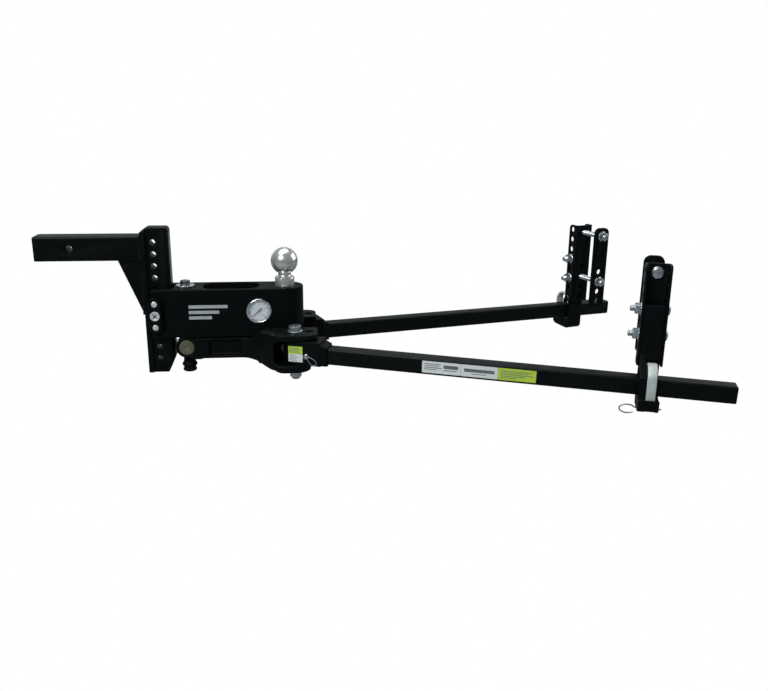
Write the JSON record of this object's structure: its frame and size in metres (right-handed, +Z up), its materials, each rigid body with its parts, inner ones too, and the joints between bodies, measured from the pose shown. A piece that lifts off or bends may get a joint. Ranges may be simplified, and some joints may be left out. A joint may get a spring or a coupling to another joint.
{
  "type": "weight distribution hitch",
  "caption": "Square shank, drop rail and weighing tow ball mount with a rocking yoke, hinged spring bars and clamp-on frame brackets that spread a trailer's tongue load.",
  "frame": {"origin": "centre of the hitch-pin hole in the square shank", "axes": "+X back along the shank towards the trailer, +Y to the far side (away from the dial and lock), +Z up"},
  "size_m": [1.386, 0.7406, 0.325],
  "materials": {
    "black_coat": "satin powder coat",
    "zinc_plate": "bright zinc",
    "pale_zinc": "pale zinc",
    "polished_steel": "polished",
    "chrome_trim": "polished",
    "plain_steel": "plain",
    "spring_wire": "plain",
    "black_rubber": "matte",
    "dial_face": "printed",
    "dark_needle": "matte",
    "clear_glass": "clear",
    "bronze": "plain",
    "pad_fibre": "matte"
  },
  "bodies": {
    "drawbar": {"drawbar_shank": "black_coat", "drawbar_gusset": "black_coat", "drawbar_rail": "black_coat", "ball_mount_body": "black_coat", "ball_gland_ring": "black_coat", "thrust_bush": "bronze", "tension_washer": "zinc_plate", "yoke_pivot_pin": "plain_steel", "gauge_case": "plain_steel", "gauge_dial": "dial_face", "gauge_bezel": "chrome_trim", "gauge_lens": "clear_glass"},
    "hitch_pins": {"upper_hitch_pin": "polished_steel", "lower_hitch_pin": "polished_steel", "pin_handle_plate": "black_coat"},
    "lock_cover": {"lock_plate": "black_coat"},
    "key_barrel": {"lock_cylinder": "chrome_trim"},
    "ball": {"tow_ball": "polished_steel", "ball_piston": "plain_steel", "piston_seal": "black_rubber"},
    "needle": {"gauge_needle": "dark_needle"},
    "adjuster": {"tension_bolt": "plain_steel"},
    "rocker": {"yoke": "black_coat", "near_trunnion_bolt": "zinc_plate", "far_trunnion_bolt": "zinc_plate", "near_trunnion_nut": "zinc_plate", "far_trunnion_nut": "zinc_plate"},
    "cross_nut": {"barrel_nut": "plain_steel", "dust_boot": "black_rubber"},
    "near_bar": {"near_trunnion_block": "black_coat", "near_spring_bar": "black_coat"},
    "near_pin": {"near_bar_lock_pin": "zinc_plate"},
    "near_bracket": {"near_channel": "black_coat", "near_clamp_plate": "black_coat", "near_upper_clamp_bolt": "zinc_plate", "near_lower_clamp_bolt": "zinc_plate", "near_upper_clamp_nut": "zinc_plate", "near_lower_clamp_nut": "zinc_plate", "near_hanger": "black_coat", "near_friction_pad": "pad_fibre", "near_bar_keeper": "pale_zinc", "near_upper_side_bolt": "zinc_plate", "near_lower_side_bolt": "zinc_plate"},
    "near_clip": {"near_keeper_clip": "spring_wire"},
    "far_bar": {"far_trunnion_block": "black_coat", "far_spring_bar": "black_coat"},
    "far_pin": {"far_bar_lock_pin": "zinc_plate"},
    "far_bracket": {"far_channel": "black_coat", "far_clamp_plate": "black_coat", "far_upper_clamp_bolt": "zinc_plate", "far_lower_clamp_bolt": "zinc_plate", "far_upper_clamp_nut": "zinc_plate", "far_lower_clamp_nut": "zinc_plate", "far_hanger": "black_coat", "far_friction_pad": "pad_fibre", "far_bar_keeper": "pale_zinc", "far_upper_side_bolt": "zinc_plate", "far_lower_side_bolt": "zinc_plate"},
    "far_clip": {"far_keeper_clip": "spring_wire"}
  },
  "joints": [
    {"name": "hitch_pins_pull", "type": "slide", "parent": "drawbar", "child": "hitch_pins", "axis": [0, 1, 0], "range_m": [0, 0.1]},
    {"name": "lock_cover_pull", "type": "slide", "parent": "drawbar", "child": "lock_cover", "axis": [0, -1, 0], "range_m": [0, 0.03]},
    {"name": "key_turn", "type": "hinge", "parent": "lock_cover", "child": "key_barrel", "pos_m": [0.169, -0.0445, -0.1406], "axis": [0, -1, 0], "range_deg": [0, 90]},
    {"name": "ball_press", "type": "slide", "parent": "drawbar", "child": "ball", "axis": [0, 0, -1], "range_m": [0, 0.0025], "stiffness_N_per_m": 200000, "springref_m": -0.0002},
    {"name": "needle_turn", "type": "hinge", "parent": "drawbar", "child": "needle", "pos_m": [0.387, -0.038, -0.1345], "axis": [0, 1, 0], "range_deg": [0, 270]},
    {"name": "yoke_tilt", "type": "hinge", "parent": "drawbar", "child": "rocker", "pos_m": [0.443, 0, -0.2157], "axis": [0, -1, 0], "range_deg": [0, 5]},
    {"name": "bolt_turn", "type": "hinge", "parent": "drawbar", "child": "adjuster", "pos_m": [0.2295, 0, -0.1], "axis": [0, 0, 1], "range_deg": [0, 2680]},
    {"name": "nut_turn", "type": "hinge", "parent": "rocker", "child": "cross_nut", "pos_m": [0.2295, 0, -0.2142], "axis": [0, -1, 0], "range_deg": [-6, 1]},
    {"name": "near_bar_swing", "type": "hinge", "parent": "rocker", "child": "near_bar", "pos_m": [0.463, -0.079, -0.2153], "axis": [0, 0, -1], "range_deg": [-8, 25]},
    {"name": "near_pin_pull", "type": "slide", "parent": "near_bar", "child": "near_pin", "axis": [-0.3086, -0.9512, 0], "range_m": [0, 0.02]},
    {"name": "near_bracket_slide", "type": "slide", "parent": "near_bar", "child": "near_bracket", "axis": [0.951, -0.3085, -0.0221], "range_m": [-0.12, 0.12]},
    {"name": "near_clip_pull", "type": "slide", "parent": "near_bracket", "child": "near_clip", "axis": [-0.9512, 0.3086, 0], "range_m": [0, 0.05]},
    {"name": "far_bar_swing", "type": "hinge", "parent": "rocker", "child": "far_bar", "pos_m": [0.463, 0.079, -0.2153], "axis": [0, 0, 1], "range_deg": [-8, 25]},
    {"name": "far_pin_pull", "type": "slide", "parent": "far_bar", "child": "far_pin", "axis": [-0.3086, 0.9512, 0], "range_m": [0, 0.02]},
    {"name": "far_bracket_slide", "type": "slide", "parent": "far_bar", "child": "far_bracket", "axis": [0.951, 0.3085, -0.0221], "range_m": [-0.15, 0.08]},
    {"name": "far_clip_pull", "type": "slide", "parent": "far_bracket", "child": "far_clip", "axis": [0.9512, 0.3086, 0], "range_m": [0, 0.05]}
  ],
  "couplings": [
    {"joint": "needle_turn", "follows": "ball_press", "rad_per_m": 1884},
    {"joint": "bolt_turn", "follows": "yoke_tilt", "ratio": 534},
    {"joint": "nut_turn", "follows": "yoke_tilt", "ratio": -1}
  ]
}
